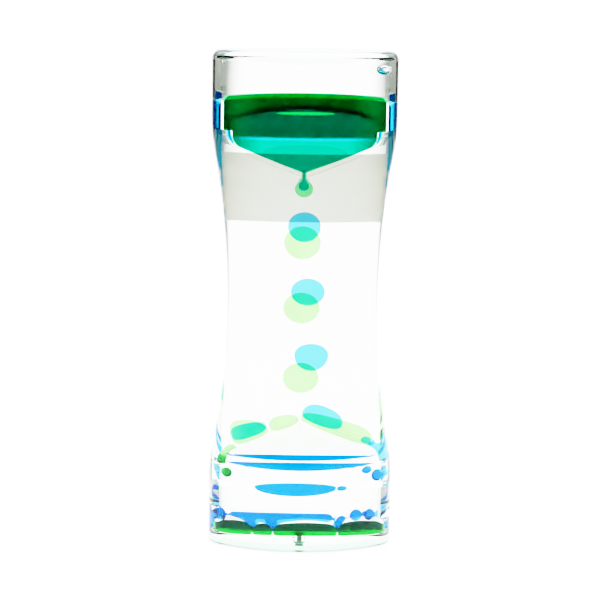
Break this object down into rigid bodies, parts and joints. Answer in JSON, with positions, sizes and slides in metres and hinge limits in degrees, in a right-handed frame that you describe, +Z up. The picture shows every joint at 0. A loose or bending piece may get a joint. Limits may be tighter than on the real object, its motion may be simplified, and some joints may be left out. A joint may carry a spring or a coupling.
{
  "type": "liquid motion timer",
  "caption": "Clear waisted liquid motion timer; lime and blue drops fall through oil from funnels in its top and run over roofs to the base.",
  "frame": {"origin": "centre of the base, on the surface that the timer stands on", "axes": "+Z up, +X to the right seen from the front, -Y towards the viewer"},
  "size_m": [0.052, 0.03, 0.14],
  "materials": {
    "clear_acrylic": "gloss",
    "white_film": "satin",
    "lime_liquid": "gloss",
    "blue_liquid": "gloss"
  },
  "bodies": {
    "case": {"case_body": "clear_acrylic", "top_end_cap": "clear_acrylic", "bottom_end_cap": "clear_acrylic", "divider_plate": "clear_acrylic", "front_fill_plug": "clear_acrylic", "rear_fill_plug": "clear_acrylic", "lower_front_funnel": "clear_acrylic", "lower_rear_funnel": "clear_acrylic", "upper_front_funnel": "clear_acrylic", "upper_rear_funnel": "clear_acrylic", "label_film": "white_film", "lime_upper_pool": "lime_liquid", "lime_eave_run": "lime_liquid", "lime_puddles": "lime_liquid", "blue_upper_pool": "blue_liquid", "blue_eave_run": "blue_liquid", "blue_puddles": "blue_liquid", "blue_apron_film": "blue_liquid", "blue_crown_drop": "blue_liquid"},
    "lime_drop_upper": {"lime_drop_upper": "lime_liquid"},
    "lime_drop_middle": {"lime_drop_middle": "lime_liquid"},
    "lime_drop_lower": {"lime_drop_lower": "lime_liquid"},
    "lime_roof_drop_left_upper": {"lime_roof_drop_left_upper": "lime_liquid"},
    "lime_roof_drop_left_lower": {"lime_roof_drop_left_lower": "lime_liquid"},
    "lime_roof_drop_right": {"lime_roof_drop_right": "lime_liquid"},
    "lime_drain_drop": {"lime_drain_drop": "lime_liquid"},
    "blue_drop_upper": {"blue_drop_upper": "blue_liquid"},
    "blue_drop_middle": {"blue_drop_middle": "blue_liquid"},
    "blue_drop_lower": {"blue_drop_lower": "blue_liquid"},
    "blue_roof_drop_left": {"blue_roof_drop_left": "blue_liquid"},
    "blue_roof_drop_right": {"blue_roof_drop_right": "blue_liquid"},
    "blue_roof_drop_right_bead": {"blue_roof_drop_right_bead": "blue_liquid"},
    "blue_drain_bead": {"blue_drain_bead": "blue_liquid"},
    "blue_drain_drop": {"blue_drain_drop": "blue_liquid"}
  },
  "joints": [
    {"name": "lime_drop_upper_slide", "type": "slide", "parent": "case", "child": "lime_drop_upper", "axis": [0, 0, -1], "range_m": [-0.0065, 0.005]},
    {"name": "lime_drop_middle_slide", "type": "slide", "parent": "case", "child": "lime_drop_middle", "axis": [0, 0, -1], "range_m": [-0.0065, 0.005]},
    {"name": "lime_drop_lower_slide", "type": "slide", "parent": "case", "child": "lime_drop_lower", "axis": [0, 0, -1], "range_m": [-0.0065, 0.005]},
    {"name": "blue_drop_upper_slide", "type": "slide", "parent": "case", "child": "blue_drop_upper", "axis": [0.0586, 0, -0.9983], "range_m": [-0.005, 0.01]},
    {"name": "blue_drop_middle_slide", "type": "slide", "parent": "case", "child": "blue_drop_middle", "axis": [0.0586, 0, -0.9983], "range_m": [-0.005, 0.01]},
    {"name": "blue_drop_lower_slide", "type": "slide", "parent": "case", "child": "blue_drop_lower", "axis": [0.0586, 0, -0.9983], "range_m": [-0.005, 0.01]},
    {"name": "lime_roof_drop_left_upper_slide", "type": "slide", "parent": "case", "child": "lime_roof_drop_left_upper", "axis": [-0.9272, 0, -0.3746], "range_m": [0, 0.0012]},
    {"name": "lime_roof_drop_left_lower_slide", "type": "slide", "parent": "case", "child": "lime_roof_drop_left_lower", "axis": [-0.9272, 0, -0.3746], "range_m": [0, 0.0012]},
    {"name": "lime_roof_drop_right_slide", "type": "slide", "parent": "case", "child": "lime_roof_drop_right", "axis": [0.9272, 0, -0.3746], "range_m": [0, 0.0012]},
    {"name": "blue_roof_drop_left_slide", "type": "slide", "parent": "case", "child": "blue_roof_drop_left", "axis": [-0.9272, 0, -0.3746], "range_m": [0, 0.0012]},
    {"name": "blue_roof_drop_right_slide", "type": "slide", "parent": "case", "child": "blue_roof_drop_right", "axis": [0.9272, 0, -0.3746], "range_m": [0, 0.004]},
    {"name": "blue_roof_drop_right_bead_slide", "type": "slide", "parent": "case", "child": "blue_roof_drop_right_bead", "axis": [0.9272, 0, -0.3746], "range_m": [0, 0.0012]},
    {"name": "lime_drain_drop_slide", "type": "slide", "parent": "case", "child": "lime_drain_drop", "axis": [0, 0, -1], "range_m": [0, 0.011]},
    {"name": "blue_drain_bead_slide", "type": "slide", "parent": "case", "child": "blue_drain_bead", "axis": [0, 0, -1], "range_m": [0, 0.01]},
    {"name": "blue_drain_drop_slide", "type": "slide", "parent": "case", "child": "blue_drain_drop", "axis": [0, 0, -1], "range_m": [0, 0.008]}
  ],
  "couplings": [
    {"joint": "lime_drop_middle_slide", "follows": "lime_drop_upper_slide", "ratio": 1},
    {"joint": "lime_drop_lower_slide", "follows": "lime_drop_upper_slide", "ratio": 1},
    {"joint": "blue_drop_middle_slide", "follows": "blue_drop_upper_slide", "ratio": 1},
    {"joint": "blue_drop_lower_slide", "follows": "blue_drop_upper_slide", "ratio": 1},
    {"joint": "lime_roof_drop_left_upper_slide", "follows": "lime_roof_drop_left_lower_slide", "ratio": 1}
  ]
}
